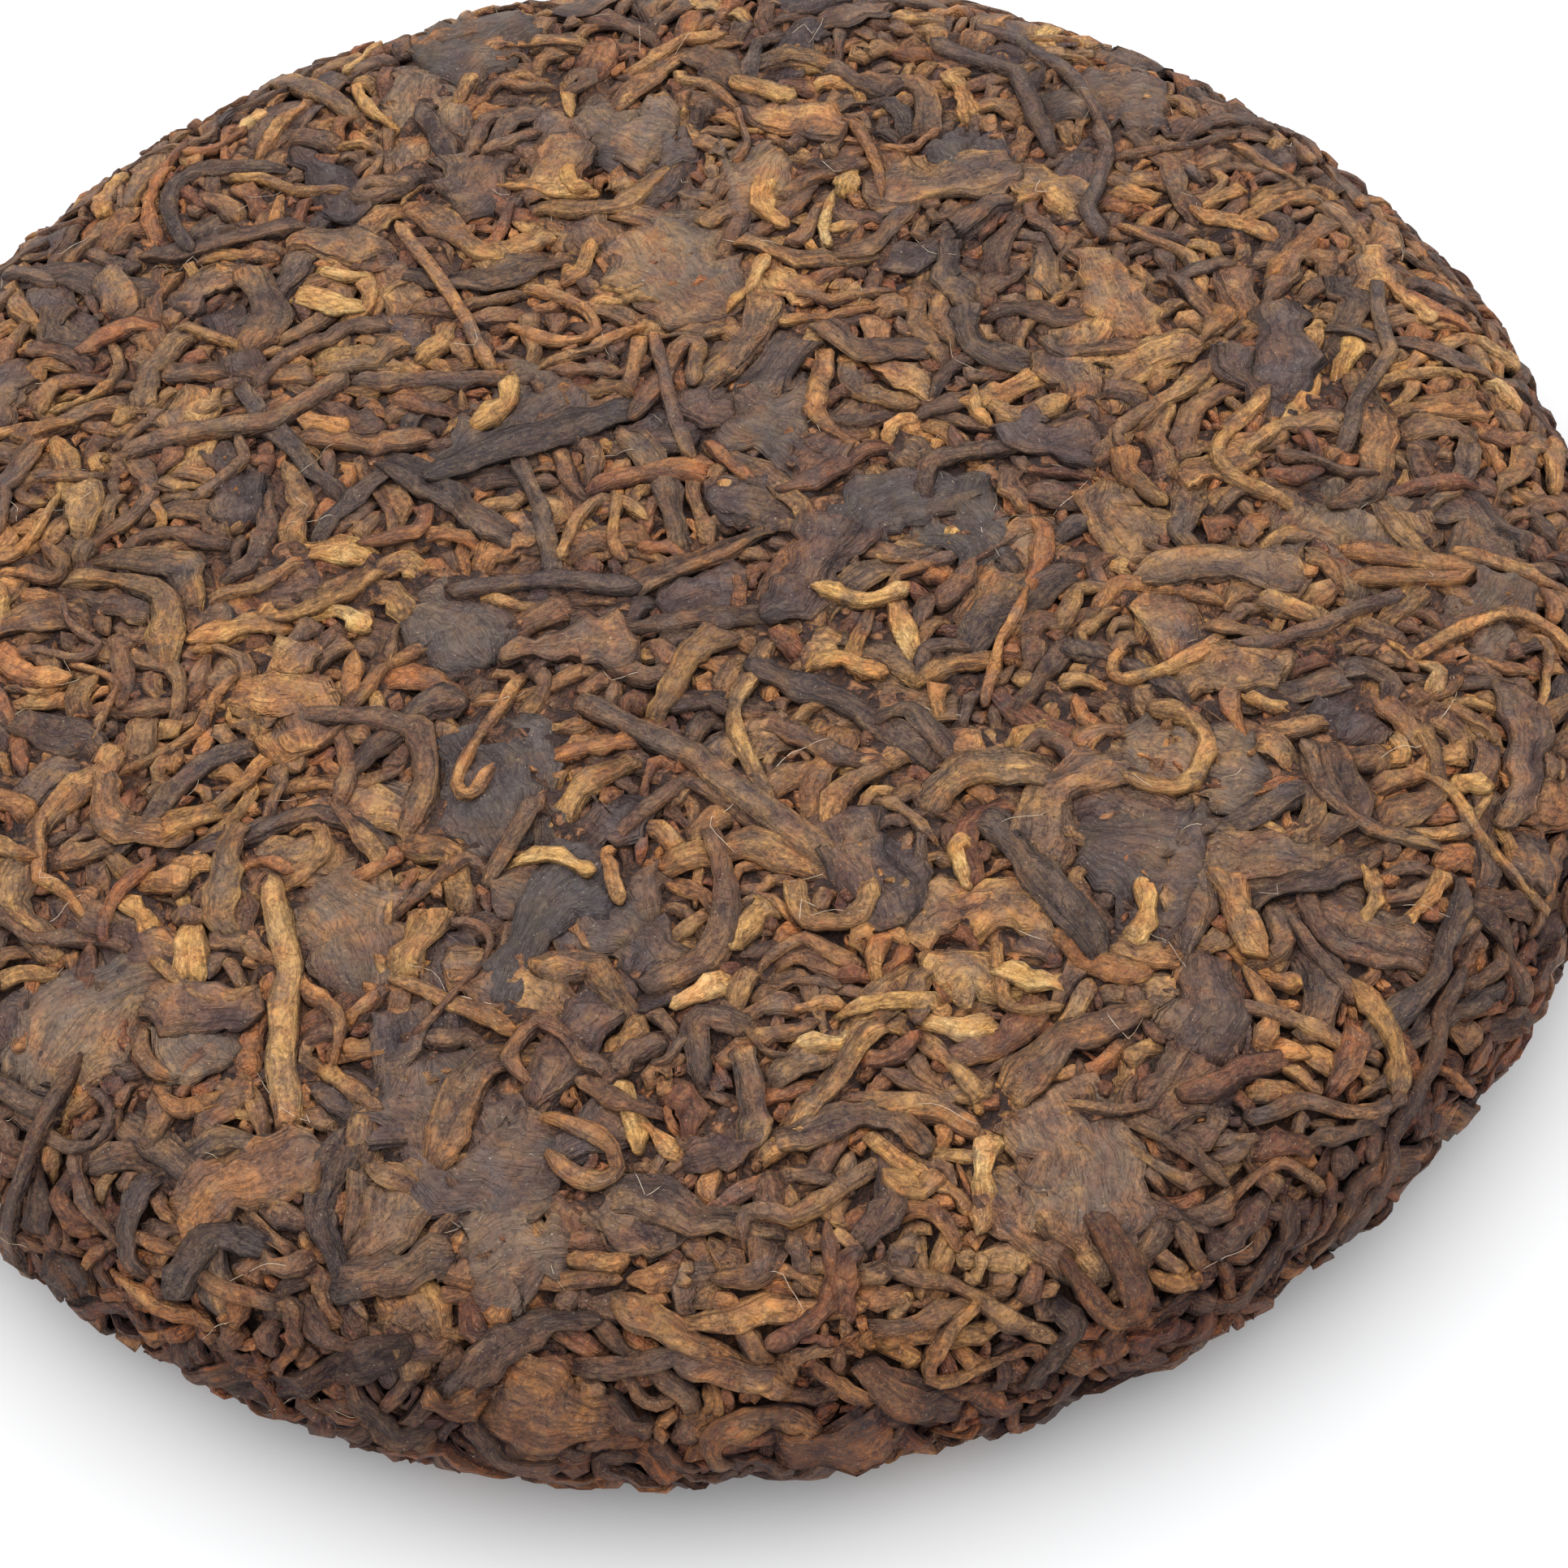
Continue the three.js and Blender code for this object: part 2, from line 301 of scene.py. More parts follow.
def paths_on(mould, kind, along, angle, length):
    """The line of each piece on the mould, tip to tip, as evenly spaced points, outward ways and headings."""
    count = len(along)
    steps = int(math.ceil(kind.length[1] * MM / FINE_STEP)) | 1
    step = length / (steps - 1)
    middle, out = mould.place(along, angle)
    outward = np.stack([np.cos(angle), np.sin(angle), 0 * angle], -1)
    round_about = unit(np.cross(np.array([0.0, 0, 1]), outward))
    free = np.abs(out[:, 2]) > LEVEL
    stray = np.where(free, 1.0, kind.rim_heading) * math.pi * (DRAW.random(count) - 0.5)
    heading = rotated(round_about, out, stray)
    u = np.linspace(0, 1, steps)
    turn = kind.turn * DRAW.normal(size=(count, 1)) + kind.hook * DRAW.choice([-1, 1], (count, 1))
    centre = DRAW.uniform(0.2, 0.8, (count, 1))
    spread = DRAW.uniform(0.07, 0.4, (count, 1))
    where = np.exp(-((u - centre) / spread) ** 2)
    where /= where.mean(axis=1, keepdims=True)
    bends = turn * where / steps + kind.wiggle * wander(count, steps) * math.pi * 2 / steps
    half = steps // 2
    points = np.zeros((count, steps, 3))
    outs = np.zeros((count, steps, 3))
    points[:, half], outs[:, half] = middle, out
    for sense in (-1, 1):
        here, normal, ahead = middle, out, heading * sense
        for k in range(1, half + 1):
            i = half + sense * k
            ahead = rotated(ahead, normal, sense * bends[:, i])
            here, normal = mould.project(here + ahead * step[:, None])
            ahead = unit(ahead - normal * np.sum(ahead * normal, axis=-1, keepdims=True))
            points[:, i], outs[:, i] = here, normal
    return points, outs


def plumpness(kind, count, steps):
    """How full each piece is along its length: 0 at the tips, 1 at its thickest."""
    u = np.linspace(0, 1, steps)
    first = DRAW.uniform(*kind.blunt, (count, 1))
    last = DRAW.uniform(*kind.blunt, (count, 1))
    x = 2 * u - 1
    power = np.where(x < 0, first, last)
    body = np.sqrt(np.clip(1 - np.abs(x) ** power, 0, 1))
    taper = DRAW.uniform(-1, 1, (count, 1)) * kind.uneven * 1.4 * x
    return np.clip(body * (1 + taper + kind.uneven * wander(count, steps)), 0, 1.4)


def smoothed(values, width):
    if width < 2:
        return values
    kernel = np.hanning(width + 2)[1:-1]
    kernel /= kernel.sum()
    half = width // 2
    padded = np.pad(values, (half, width - 1 - half), mode="edge")
    return np.convolve(padded, kernel, "valid")


def lay(mould, roof, kind, wanted, least_bare):
    """Lays up to so many pieces of a kind where the cake is bare, each under what was laid before it."""
    laid = 0
    for _ in range(TRIES):
        missing = wanted - laid
        if missing <= 0:
            break
        bare = np.nonzero(roof.bare)[0]
        if len(bare) < FEWEST_BARE:
            break
        count = int(missing * SPARE_SHARE) + SPARE_PIECES
        chance = 1 + kind.rim_share * roof.rim[bare] - UNDERSIDE_THINNING * (roof.up[bare] < UNDERSIDE)
        chance = np.maximum(chance, LEAST_CHANCE)
        spots = DRAW.choice(bare, count, p=chance / chance.sum())
        length = millimetres(kind.length, count)
        points, outs = paths_on(mould, kind, roof.along[spots], roof.angle[spots], length)
        steps = points.shape[1]
        half_width = millimetres(kind.half_width, count)[:, None] * plumpness(kind, count, steps)
        fullness = np.clip(half_width / half_width.max(axis=1, keepdims=True), 0.02, 1)
        thick = millimetres(kind.thickness, count)[:, None] * np.sqrt(fullness)
        own = millimetres(kind.depth, count)
        ahead = unit(np.gradient(points, axis=1))
        side = unit(np.cross(outs, ahead))
        wide = points[:, :, None] + side[:, :, None] * (half_width[:, :, None] * ACROSS)[..., None]
        patches = roof.patch(*mould.measure(wide))
        crown = 1 - ARCH
        for i in range(count):
            if laid >= wanted:
                break
            cells = patches[i]
            seen = roof.bare[cells]
            if seen.mean() < least_bare:
                continue
            step = length[i] / (steps - 1)
            shows = np.nonzero(seen.mean(axis=1) > SHOWING)[0]
            if not len(shows):
                continue
            margin = int(round(HIDDEN_END / step))
            first, last = max(0, shows[0] - margin), min(steps - 1, shows[-1] + margin)
            if last - first < FEWEST_STEPS:
                continue
            cells = cells[first:last + 1]
            body = thick[i, first:last + 1]
            tuck = tucked_ends(kind, last - first + 1, step)
            rows = tuck < COVERED_TUCK
            if kind.flat:
                depth = draped(roof.depth[cells], own[i]) + tuck[:, None]
                if depth.min() > DEEPEST:
                    continue
                floor = depth + body[:, None] + UNDER_SHEET
            else:
                hang = roof.depth[cells] - body[:, None] / 2 * crown
                limit = np.maximum(0.35 * hang.max(axis=1) + 0.65 * hang.mean(axis=1) + LEAF_GAP, own[i])
                reach = np.abs(np.arange(len(limit))[:, None] - np.arange(len(limit))) * step
                depth = smoothed((limit[None, :] - STEEPEST * reach).max(axis=1), int(DIP_EASING / step))
                if depth.min() > DEEPEST:
                    continue
                depth = depth + tuck
                floor = depth[:, None] + SQUEEZED * body[:, None] / 2 * (1 + ARCH)
            top = depth if kind.flat else depth[:, None] + body[:, None] / 2 * crown
            fresh = roof.bare[cells]
            roof.top[cells[fresh]] = top[fresh]
            np.maximum.at(roof.depth, cells[rows].ravel(), floor[rows].ravel())
            roof.bare[cells[rows]] = False
            kind.laid.append({
                "points": points[i, first:last + 1], "outs": outs[i, first:last + 1], "depth": depth,
                "half_width": half_width[i, first:last + 1], "thick": body, "step": step,
            })
            laid += 1


def tucked_ends(kind, steps, step):
    """How much deeper a piece's ends dive, for the ones that end under their neighbours."""
    run = np.arange(steps) * step
    length = min(TUCK_LENGTH, 0.3 * run[-1])
    dive = np.zeros(steps)
    for away in (run, run[::-1]):
        if DRAW.random() < kind.tucked:
            dive += DRAW.uniform(0.7, 1.2) * TUCK_DEPTH * np.clip(1 - away / length, 0, 1) ** 1.6
    return dive


def strew(mould, roof, kind, count):
    """Lays thin pieces over the finished surface."""
    spots = DRAW.integers(0, len(roof.along), count)
    length = millimetres(kind.length, count)
    points, outs = paths_on(mould, kind, roof.along[spots], roof.angle[spots], length)
    steps = points.shape[1]
    width = millimetres(kind.half_width, count)[:, None] * plumpness(kind, count, steps)
    cells = roof.patch(*mould.measure(points))
    for i in range(count):
        depth = smoothed(roof.top[cells[i]], 5) - DRAW.uniform(0, 0.12) * MM
        kind.laid.append({"points": points[i], "outs": outs[i], "depth": depth, "half_width": width[i],
                          "thick": 2 * width[i], "step": length[i] / (steps - 1)})


def draped(ceiling, own):
    """The depth of a broad leaf's upper face under what already lies over it, eased like a damp sheet."""
    limit = np.maximum(ceiling + LEAF_GAP, own)
    depth = limit.copy()
    for _ in range(DRAPING_ROUNDS):
        padded = np.pad(depth, 1, mode="edge")
        around = (padded[:-2, 1:-1] + padded[2:, 1:-1] + padded[1:-1, :-2] + padded[1:-1, 2:]) / 4
        depth = np.maximum(0.5 * (depth + around), 0.8 * limit + 0.2 * around)
    return depth


def resampled(values, count):
    """Values at places along a piece that lie closer together towards its tips."""
    even = np.linspace(0, 1, count)
    new = 0.45 * even + 0.55 * (0.5 - 0.5 * np.cos(math.pi * even))
    new = 0.004 + 0.992 * new
    old = np.linspace(0, 1, len(values))
    columns = values.reshape(len(values), -1).T
    found = np.stack([np.interp(new, old, column) for column in columns], -1)
    return found.reshape((count,) + values.shape[1:])


def ring_shapes(kind, pieces, steps, sides):
    """The rings of points round each rolled piece, and how far each point stands out of its round."""
    count = len(pieces)
    get = lambda key: np.stack([resampled(piece[key], steps) for piece in pieces])
    points, outs, depth = get("points"), unit(get("outs")), get("depth")
    half_width, thick = get("half_width"), get("thick")
    centre = points - outs * (depth + thick / 2)[..., None]
    ahead = unit(np.gradient(centre, axis=1))
    side = unit(np.cross(outs, ahead))
    lift = np.cross(ahead, side)
    under = max(2, sides // 4)
    phi = np.radians(np.concatenate([np.linspace(-12, 192, sides - under),
                                     np.linspace(192, 348, under + 2)[1:-1]]))
    u = np.linspace(0, 1, steps)[None, :, None]
    relief = np.zeros((count, steps, sides))
    for lobes, strength in ((2, 0.7), (3, 0.9), (5, 0.9), (7, 0.6)):
        if lobes * 2 > sides:
            continue
        twist = DRAW.normal(0, 1.3, (count, 1, 1))
        phase = DRAW.uniform(0, 2 * math.pi, (count, 1, 1))
        drift = wander(count, steps)[:, :, None] * 0.9
        relief += strength * kind.folds * np.cos(lobes * phi + twist * u + phase + drift)
    groove_at = (wander(count, steps) * 0.6)[:, :, None]
    groove = np.exp(-((np.cos(phi) - groove_at) / 0.28) ** 2) * (np.sin(phi) > 0)
    groove = groove * kind.groove * DRAW.uniform(0, 1, (count, 1, 1)) ** 1.2
    square = lambda wave: np.sign(wave) * np.abs(wave) ** SQUARENESS
    x = half_width[..., None] * (1 + relief) * square(np.cos(phi))
    y = thick[..., None] / 2 * ((1 + relief) * square(np.sin(phi)) - groove)
    tilt = 0.16 * wander(count, steps)
    side, lift = rotated(side, ahead, tilt), rotated(lift, ahead, tilt)
    first_skew = DRAW.normal(0, kind.skew, (count, 1, 1))
    last_skew = DRAW.normal(0, kind.skew, (count, 1, 1))
    skew = first_skew * (1 - u) ** 5 + last_skew * u ** 5
    rings = centre[:, :, None] + side[:, :, None] * x[..., None] + lift[:, :, None] * y[..., None]
    rings += ahead[:, :, None] * (x * skew)[..., None]
    lumps = Unevenness(1.9 * MM, 20).at(rings + DRAW.normal(0, 0.05, (count, 1, 1, 3)))
    lumps = np.abs(lumps) * 1.8 - 0.7
    spread = np.clip(half_width / (0.5 * MM), 0.1, 1)[..., None]
    rings += unit(rings - centre[:, :, None]) * (lumps * spread * kind.crumple * MM)[..., None]
    # Painted light and shade: ridges are marked to be painted paler, grooves darker.
    crest = relief / max(kind.folds, 1e-6) * 0.5 - groove * 1.6 + lumps * 0.4
    tip = np.minimum(half_width[:, [0, -1]], 0.25 * MM)
    poles = centre[:, [0, -1]] + ahead[:, [0, -1]] * (np.array([-1, 1])[None, :] * tip)[..., None]
    # Painted shade: points that lie deeper under the mould's face, and points low on a piece's flanks, are
    # marked to be painted darker.
    fall = thick[..., None] / 2 - y
    edge = np.clip(1.6 * fall / thick[..., None], 0, 1) ** 1.5
    sunk = depth[..., None] + fall + 0.9 * MM * edge
    return rings, poles, crest, sunk, half_width, outs


def sheet_shapes(mould, kind, pieces, steps, sides):
    """The rings of points round each broad leaf piece: its upper face and then its underside."""
    count = len(pieces)
    columns = sides // 2
    get = lambda key: np.stack([resampled(piece[key], steps) for piece in pieces])
    points, outs = get("points"), unit(get("outs"))
    half_width, thick, depth = get("half_width"), get("thick"), get("depth")
    ahead = unit(np.gradient(points, axis=1))
    side = unit(np.cross(outs, ahead))
    v = np.linspace(-1, 1, columns)
    depth = np.stack([np.stack([np.interp(v, ACROSS, row) for row in sheet]) for sheet in depth])
    edge = DRAW.normal(0, 0.07, (count, steps, 2))
    reach = half_width[..., None] * (v + np.where(v < 0, edge[..., :1], edge[..., 1:]) * np.abs(v) ** 3)
    spots, ways = mould.project(points[:, :, None] + side[:, :, None] * reach[..., None])
    crinkle = Unevenness(1.8 * MM, 20).at(spots + DRAW.normal(0, 0.05, (count, 1, 1, 3)))
    crinkle = np.abs(crinkle) * 2 - 0.8 + 0.5 * Unevenness(0.9 * MM, 20).at(spots)
    rib = np.exp(-(v / 0.13) ** 2) * DRAW.uniform(0, 0.8, (count, 1, 1))
    relief = crinkle * 0.16 * MM + rib * 0.12 * MM
    tuck = 0.28 * MM * np.abs(v) ** 4 + 0.25 * MM * np.abs(np.linspace(-1, 1, steps))[:, None] ** 6
    top = spots - ways * np.maximum(depth + tuck + 0.12 * MM - relief, 0.01 * MM)[..., None]
    body = thick[..., None] * np.ones(columns)
    low = top - ways * body[..., None]
    rings = np.concatenate([top, low[:, :, ::-1]], axis=2)
    poles = rings[:, [0, -1]].mean(axis=2)
    # Painted light and shade on the broad leaves: crinkle ridges paler, the underside darker, and the face
    # darker where it lies deep or tucks under.
    crest = np.concatenate([crinkle * 0.8 + rib, -np.ones_like(crinkle)], axis=2)
    sunk = np.concatenate([depth + 2 * tuck, depth[:, :, ::-1] + 0.6 * MM], axis=2)
    return rings, poles, crest, sunk, half_width, outs


def joined_piece(name, parts):
    """One mesh object from several groups of closed pieces, with their marks and a map along their grain."""
    corners, triangles, quads, uv_quads, uv_triangles = [], [], [], [], []
    # tint picks each piece's colours; crest and the depth mark carry painted light and shade; rim says how
    # far a piece lies on the rim, where more painted shade is laid.
    marks = {"tint": [], "crest": [], "sunk": [], "rim": []}
    start = 0
    for rings, poles, crest, sunk, half_width, outs in parts:
        count, steps, sides, _ = rings.shape
        block = np.concatenate([rings.reshape(count, -1, 3), poles], axis=1)
        block[..., 2] = np.maximum(block[..., 2], REST_GAP)
        base = start + np.arange(count)[:, None, None, None] * block.shape[1]
        k = np.arange(steps - 1)[:, None]
        j = np.arange(sides)[None, :]
        after = (j + 1) % sides
        here, beyond = k * sides, (k + 1) * sides
        square = np.stack([here + j, here + after, beyond + after, beyond + j], -1)
        quads.append((square[None] + base).reshape(-1, 4))
        fan_j = np.arange(sides)
        fan_next = (fan_j + 1) % sides
        top = (steps - 1) * sides
        caps = np.stack([
            np.stack([np.full(sides, steps * sides), fan_next, fan_j], -1),
            np.stack([np.full(sides, steps * sides + 1), top + fan_j, top + fan_next], -1),
        ])
        triangles.append((caps[None] + base).reshape(-1, 3))
        corners.append(block.reshape(-1, 3))
        centre = rings.mean(axis=2)
        strides = np.linalg.norm(np.diff(centre, axis=1), axis=-1)
        run = np.concatenate([np.zeros((count, 1)), np.cumsum(strides, axis=1)], axis=1) / MM
        offset = DRAW.uniform(0, 400, (count, 1))
        run = run + offset
        girth = (half_width.max(axis=1) / MM * 4.6)[:, None, None]
        across = np.arange(sides + 1)[None, None, :] / sides * girth + offset[:, :, None] * 1.7
        u_low = np.broadcast_to(run[:, :-1, None], (count, steps - 1, sides))
        u_high = np.broadcast_to(run[:, 1:, None], (count, steps - 1, sides))
        v_here = np.broadcast_to(across[:, :, :-1], (count, steps - 1, sides))
        v_next = np.broadcast_to(across[:, :, 1:], (count, steps - 1, sides))
        square_uv = np.stack([u_low, v_here, u_low, v_next, u_high, v_next, u_high, v_here], -1)
        uv_quads.append(square_uv.reshape(-1, 2))
        v0 = np.broadcast_to(across[:, 0, :-1], (count, sides))
        v1 = np.broadcast_to(across[:, 0, 1:], (count, sides))
        near = np.broadcast_to(run[:, :1], (count, sides))
        far = np.broadcast_to(run[:, -1:], (count, sides))
        first_cap = np.stack([near - 0.3, (v0 + v1) / 2, near, v1, near, v0], -1)
        last_cap = np.stack([far + 0.3, (v0 + v1) / 2, far, v0, far, v1], -1)
        uv_triangles.append(np.stack([first_cap, last_cap], 1).reshape(-1, 2))
        rim = np.sqrt(np.clip(1 - np.abs(outs[:, steps // 2, 2]) * RIM_SHARPNESS, 0, 1))
        # Pieces on the rim lean to the darker colours of their ramp, a painted shade.
        tint = DRAW.random(count) * (1 - 0.15 * rim)
        marks["tint"].append(np.repeat(tint, block.shape[1]))
        marks["rim"].append(np.repeat(rim, block.shape[1]))
        # The rim also gets more of the painted shade.
        for key, values in (("crest", crest), ("sunk", sunk / MM + 0.5 * rim[:, None, None])):
            flat = values.reshape(count, -1)
            ends = np.stack([values[:, 0].mean(axis=1), values[:, -1].mean(axis=1)], -1)
            marks[key].append(np.concatenate([flat, ends], axis=1).ravel())
        start += count * block.shape[1]
    corners = np.concatenate(corners)
    quads = np.concatenate(quads)
    triangles = np.concatenate(triangles)
    a, b, c = (corners[triangles[:, n]] for n in range(3))
    volume = np.sum(a * np.cross(b, c))
    for p, q, r in ((0, 1, 2), (0, 2, 3)):
        a, b, c = corners[quads[:, p]], corners[quads[:, q]], corners[quads[:, r]]
        volume += np.sum(a * np.cross(b, c))
    uv = np.concatenate([np.concatenate(uv_quads), np.concatenate(uv_triangles)])
    loops = np.concatenate([quads.ravel(), triangles.ravel()])
    starts = np.concatenate([np.arange(len(quads)) * 4, len(quads) * 4 + np.arange(len(triangles)) * 3])
    mesh = bpy.data.meshes.new(name)
    mesh.vertices.add(len(corners))
    mesh.vertices.foreach_set("co", corners.astype(np.float32).ravel())
    mesh.loops.add(len(loops))
    mesh.loops.foreach_set("vertex_index", loops.astype(np.int32))
    mesh.polygons.add(len(starts))
    mesh.polygons.foreach_set("loop_start", starts.astype(np.int32))
    mesh.update(calc_edges=True)
    mesh.uv_layers.new(name="grain").uv.foreach_set("vector", uv.astype(np.float32).ravel())
    for key, values in marks.items():
        mark = mesh.attributes.new(key, "FLOAT", "POINT")
        mark.data.foreach_set("value", np.concatenate(values).astype(np.float32))
    mesh.polygons.foreach_set("use_smooth", np.ones(len(starts), bool))
    if volume < 0:
        mesh.flip_normals()
    mesh.validate()
    piece = bpy.data.objects.new(name, mesh)
    bpy.context.scene.collection.objects.link(piece)
    return piece


def piece_from(mould, kind):
    """The kind's pieces as one mesh, the longer ones with more rings and those underneath with fewer."""
    groups = {}
    for one in kind.laid:
        length = one["step"] * (len(one["points"]) - 1) / MM
        steps = next(count for limit, count in LENGTH_STEPS if length <= limit)
        sides = kind.sides
        if one["outs"][len(one["outs"]) // 2, 2] < UNDERSIDE:
            steps, sides = int(steps * UNDERSIDE_STEPS), int(sides * UNDERSIDE_SIDES)
        groups.setdefault((steps, sides), []).append(one)
    if kind.flat:
        shape = lambda pieces, steps, sides: sheet_shapes(mould, kind, pieces, steps, sides // 2 * 2)
    else:
        shape = lambda pieces, steps, sides: ring_shapes(kind, pieces, steps, sides)
    return joined_piece(kind.name, [shape(pieces, *size) for size, pieces in sorted(groups.items())])


class Value:
    """A number that a material's nodes work out, with the sums that can be done on it."""

    def __init__(self, finish, socket):
        self.finish = finish
        self.socket = socket

    def sum(self, operation, first, second, clamp=False):
        return self.finish.node("ShaderNodeMath", {"operation": operation, "use_clamp": clamp},
                                {0: first, 1: second})["Value"]

    def __add__(self, other):
        return self.sum("ADD", self, other)

    def __radd__(self, other):
        return self.sum("ADD", other, self)

    def __sub__(self, other):
        return self.sum("SUBTRACT", self, other)

    def __rsub__(self, other):
        return self.sum("SUBTRACT", other, self)

    def __mul__(self, other):
        return self.sum("MULTIPLY", self, other)

    def __rmul__(self, other):
        return self.sum("MULTIPLY", other, self)

    def clamped(self):
        return self.sum("ADD", self, 0.0, clamp=True)

    def size(self):
        return self.sum("ABSOLUTE", self, 0.0)

    def fraction(self):
        return self.sum("FRACT", self, 0.0)


class Outputs:
    """A node's outputs by name."""

    def __init__(self, finish, node):
        self.finish = finish
        self.node = node

    def __getitem__(self, name):
        found = [s for s in self.node.outputs if s.name == name and s.enabled]
        return Value(self.finish, found[0])


class Finish:
    """A material and the nodes that it is made of."""

    def __init__(self, name):
        self.material = bpy.data.materials.new(name)
        self.material.use_nodes = True
        self.tree = self.material.node_tree
        self.shader = self.tree.nodes["Principled BSDF"]

    def node(self, kind, settings, values):
        made = self.tree.nodes.new(kind)
        for key, setting in settings.items():
            if key == "stops":
                ramp = made.color_ramp
                while len(ramp.elements) < len(setting):
                    ramp.elements.new(1.0)
                for element, (position, colour) in zip(ramp.elements, setting):
                    element.position = position
                    element.color = (*colour, 1.0)
            else:
                setattr(made, key, setting)
        self.feed(made, values)
        return Outputs(self, made)

    def feed(self, node, values):
        for key, value in values.items():
            if isinstance(key, str):
                socket = [s for s in node.inputs if s.name == key and s.enabled][0]
            else:
                socket = node.inputs[key]
            if isinstance(value, Value):
                self.tree.links.new(value.socket, socket)
            else:
                socket.default_value = value

    def noise(self, vector, scale, detail=3.0, roughness=0.55, distortion=0.0):
        return self.node("ShaderNodeTexNoise", {"noise_dimensions": "3D"}, {
            "Vector": vector, "Scale": scale, "Detail": detail, "Roughness": roughness,
            "Distortion": distortion})["Fac"]

    def mark(self, name):
        return self.node("ShaderNodeAttribute", {"attribute_name": name}, {})["Fac"]

    def ramp(self, value, stops):
        return self.node("ShaderNodeValToRGB", {"stops": stops}, {"Fac": value})["Color"]

    def mix(self, share, first, second, blend="MIX"):
        made = self.node("ShaderNodeMix", {"data_type": "RGBA", "blend_type": blend}, {
            "Factor": share, "A": first, "B": second})
        return made["Result"]

    def relief(self, height, distance):
        made = self.node("ShaderNodeBump", {}, {"Strength": 1.0, "Distance": distance, "Height": height})
        return made["Normal"]

    def surface(self, **values):
        self.feed(self.shader, {key.replace("_", " "): value for key, value in values.items()})
        return self.material


def linear(red, green, blue):
    """A colour given by its 0 to 255 display values, as the shader wants it."""
    def one(x):
        x = x / 255
        return x / 12.92 if x <= 0.04045 else ((x + 0.055) / 1.055) ** 2.4
    return (one(red), one(green), one(blue))


def leaf_finish(name, stops, relief, fibrous):
    """Steamed and pressed leaf: colours that change by piece and in patches, with fine lengthwise creases,
    and painted shade in the creases, in the gaps between pieces and on the rim.
    """
    f = Finish(name)
    wrinkled = 0.35
    grain = f.node("ShaderNodeUVMap", {"uv_map": "grain"}, {})["UV"]
    place = f.node("ShaderNodeTexCoord", {}, {})["Object"]
    stretched = lambda along, around: f.node("ShaderNodeMapping", {}, {
        "Vector": grain, "Scale": (along, around, 1.0)})["Vector"]
    fibres = f.noise(stretched(0.9, 4.6), 1.0, 5.0, 0.68, 0.25)
    streaks = f.noise(stretched(0.35, 1.5), 1.0, 4.0, 0.62, 0.4)
    folds = (f.noise(stretched(0.4, 1.6), 1.0, 3.0, 0.6, 0.5) * 2.0 - 1.0).size()
    crinkles = (f.noise(place, 800.0, 3.0, 0.6, 0.7) * 2.0 - 1.0).size()
    patches = f.noise(place, 290.0, 4.0, 0.62, 0.4)
    regions = f.noise(place, 70.0, 2.0)
    fine = f.noise(place, 3800.0, 3.0, 0.7)
    # The crest mark makes ridges paler and grooves darker, a painted light and shade.
    where = f.mark("tint") * 0.6 + (patches - 0.5) * 1.1 + (regions - 0.5) * 0.9 \
        + (streaks - 0.5) * (0.35 + 0.45 * fibrous) + (fibres - 0.5) * (0.6 * fibrous) + (fine - 0.5) * 0.5 \
        + f.mark("crest") * 0.13 + 0.2
    colour = f.ramp(where.clamped(), stops)
    own = f.mark("tint")
    warm = ((f.noise(place, 480.0, 3.0, 0.6, 0.5) - 0.5) * 5.0 + (own * 7.3).fraction() * 0.8).clamped()
    gilt = ((f.noise(place, 560.0, 3.0, 0.65, 0.5) - 0.5) * 5.0 + (own * 13.1).fraction() * 0.5).clamped()
    cool = ((f.noise(place, 420.0, 4.0, 0.65, 0.5) - 0.56) * 6.0 + (own * 19.7).fraction() * 0.4).clamped()
    colour = f.mix(warm * 0.5, colour, (*linear(255, 206, 194), 1.0), "MULTIPLY")
    colour = f.mix(gilt * 0.7, colour, (*linear(252, 242, 208), 1.0), "MULTIPLY")
    # Slate grey patches: partly the dark leaves' own charcoal tone, partly a painted sheen.
    colour = f.mix(cool * 0.55, colour, (*linear(94, 86, 87), 1.0))
    # Painted shade: the rim is multiplied darker and warmer.
    colour = f.mix(f.mark("rim"), colour, (*linear(204, 160, 125), 1.0), "MULTIPLY")
    down = (1.0 - (fibres * 2.0 - 1.0).size() * 7.0).clamped()
    colour = f.mix(down * (0.15 * fibrous), colour, (*linear(214, 176, 134), 1.0))
    # Painted shade: darker in the creases, where a piece lies deep, on its low flanks and on the rim; the
    # fully shaded colour is a reddish black.
    crease = (1.0 - folds * 8.0).clamped() * wrinkled + (1.0 - crinkles * 8.0).clamped() * wrinkled
    shade = (1.16 - f.mark("sunk") * 0.38 - crease + (fine - 0.5) * 0.7 + (fibres - 0.5) * 0.6 * fibrous)
    dark = f.mix(0.9, colour, (*linear(33, 15, 25), 1.0))
    colour = f.mix(shade.clamped(), dark, colour)
    specks = (f.noise(place, 6000.0, 2.0, 0.6) * 10.0 - 6.7).clamped()
    colour = f.mix(specks * 0.6, colour, (*linear(212, 190, 164), 1.0))
    height = (folds * 3.5).clamped() * 0.5 + (crinkles * 3.5).clamped() * wrinkled + streaks * 0.5 \
        + (fibres * 0.5 + down * 0.12) * fibrous + fine * 0.24
    bump = f.relief(height, relief * 0.36 * MM)
    return f.surface(Base_Color=colour, Roughness=(fine * 0.3 + 0.45).clamped(), Normal=bump,
                     Specular_IOR_Level=0.32)


def ride_and_slot(piece, material):
    piece.data.materials.append(material)
    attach(piece, "root")
    return piece


